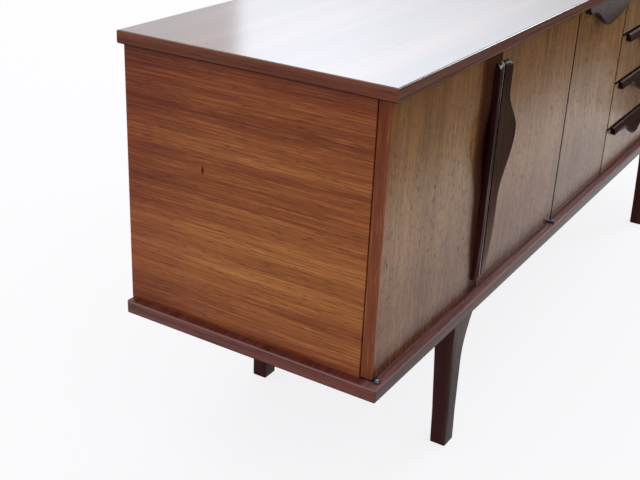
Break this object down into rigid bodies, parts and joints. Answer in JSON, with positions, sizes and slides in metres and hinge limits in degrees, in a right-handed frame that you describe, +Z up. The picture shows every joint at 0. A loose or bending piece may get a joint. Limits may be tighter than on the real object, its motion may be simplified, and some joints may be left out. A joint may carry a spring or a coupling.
{
  "type": "sideboard",
  "caption": "Long low wooden sideboard with hinged doors, a deep bottle drawer and a bank of four drawers, all opened by sculpted lip handles, on tapered legs.",
  "frame": {"origin": "on the floor under the middle of the top board", "axes": "+X along the length towards the drawers, +Y from front to back, +Z up; the doors and drawers face -Y"},
  "size_m": [1.787, 0.4641, 0.702],
  "materials": {
    "top_wood": "satin lacquer",
    "base_wood": "satin lacquer",
    "case_veneer": "satin lacquer",
    "front_veneer": "satin lacquer",
    "handle_wood": "satin lacquer",
    "leg_wood": "satin lacquer",
    "lining_wood": "satin",
    "drawer_lining": "matt",
    "hardwood": "matt",
    "back_board": "matt",
    "steel": "satin",
    "catch_plastic": "matt"
  },
  "bodies": {
    "carcase": {"top_board": "top_wood", "base_board": "base_wood", "left_end_panel": "case_veneer", "right_end_panel": "case_veneer", "cupboard_partition": "lining_wood", "drawer_partition": "lining_wood", "back_panel": "back_board", "cupboard_shelf": "lining_wood", "shelf_pegs": "hardwood", "front_left_leg": "leg_wood", "rear_left_leg": "leg_wood", "front_right_leg": "leg_wood", "rear_right_leg": "leg_wood", "left_leg_bearer": "leg_wood", "right_leg_bearer": "leg_wood", "bearer_screws": "steel", "door_hinge_plates": "steel", "catches": "catch_plastic", "drawer_runners": "hardwood"},
    "left_door_leaf": {"left_door": "front_veneer", "left_door_handle": "handle_wood", "left_door_hinge_leaves": "steel", "left_door_strike": "steel"},
    "right_door_leaf": {"right_door": "front_veneer", "right_door_handle": "handle_wood", "right_door_hinge_leaves": "steel", "right_door_strike": "steel"},
    "bottle_drawer": {"bottle_drawer_front": "front_veneer", "bottle_drawer_handle": "handle_wood", "bottle_drawer_left_side": "drawer_lining", "bottle_drawer_right_side": "drawer_lining", "bottle_drawer_back": "drawer_lining", "bottle_drawer_bottom": "drawer_lining"},
    "drawer_1": {"drawer_1_front": "front_veneer", "drawer_1_handle": "handle_wood", "drawer_1_left_side": "drawer_lining", "drawer_1_right_side": "drawer_lining", "drawer_1_back": "drawer_lining", "drawer_1_bottom": "drawer_lining"},
    "drawer_2": {"drawer_2_front": "front_veneer", "drawer_2_handle": "handle_wood", "drawer_2_left_side": "drawer_lining", "drawer_2_right_side": "drawer_lining", "drawer_2_back": "drawer_lining", "drawer_2_bottom": "drawer_lining"},
    "drawer_3": {"drawer_3_front": "front_veneer", "drawer_3_handle": "handle_wood", "drawer_3_left_side": "drawer_lining", "drawer_3_right_side": "drawer_lining", "drawer_3_back": "drawer_lining", "drawer_3_bottom": "drawer_lining"},
    "drawer_4": {"drawer_4_front": "front_veneer", "drawer_4_handle": "handle_wood", "drawer_4_left_side": "drawer_lining", "drawer_4_right_side": "drawer_lining", "drawer_4_back": "drawer_lining", "drawer_4_bottom": "drawer_lining"}
  },
  "joints": [
    {"name": "left_door_hinge", "type": "hinge", "parent": "carcase", "child": "left_door_leaf", "pos_m": [-0.8745, -0.2215, 0.472], "axis": [0, 0, -1], "range_deg": [0, 110]},
    {"name": "right_door_hinge", "type": "hinge", "parent": "carcase", "child": "right_door_leaf", "pos_m": [-0.159, -0.2215, 0.472], "axis": [0, 0, 1], "range_deg": [0, 90]},
    {"name": "bottle_drawer_slide", "type": "slide", "parent": "carcase", "child": "bottle_drawer", "axis": [0, -1, 0], "range_m": [0, 0.3]},
    {"name": "drawer_1_slide", "type": "slide", "parent": "carcase", "child": "drawer_1", "axis": [0, -1, 0], "range_m": [0, 0.3]},
    {"name": "drawer_2_slide", "type": "slide", "parent": "carcase", "child": "drawer_2", "axis": [0, -1, 0], "range_m": [0, 0.3]},
    {"name": "drawer_3_slide", "type": "slide", "parent": "carcase", "child": "drawer_3", "axis": [0, -1, 0], "range_m": [0, 0.3]},
    {"name": "drawer_4_slide", "type": "slide", "parent": "carcase", "child": "drawer_4", "axis": [0, -1, 0], "range_m": [0, 0.3]}
  ]
}
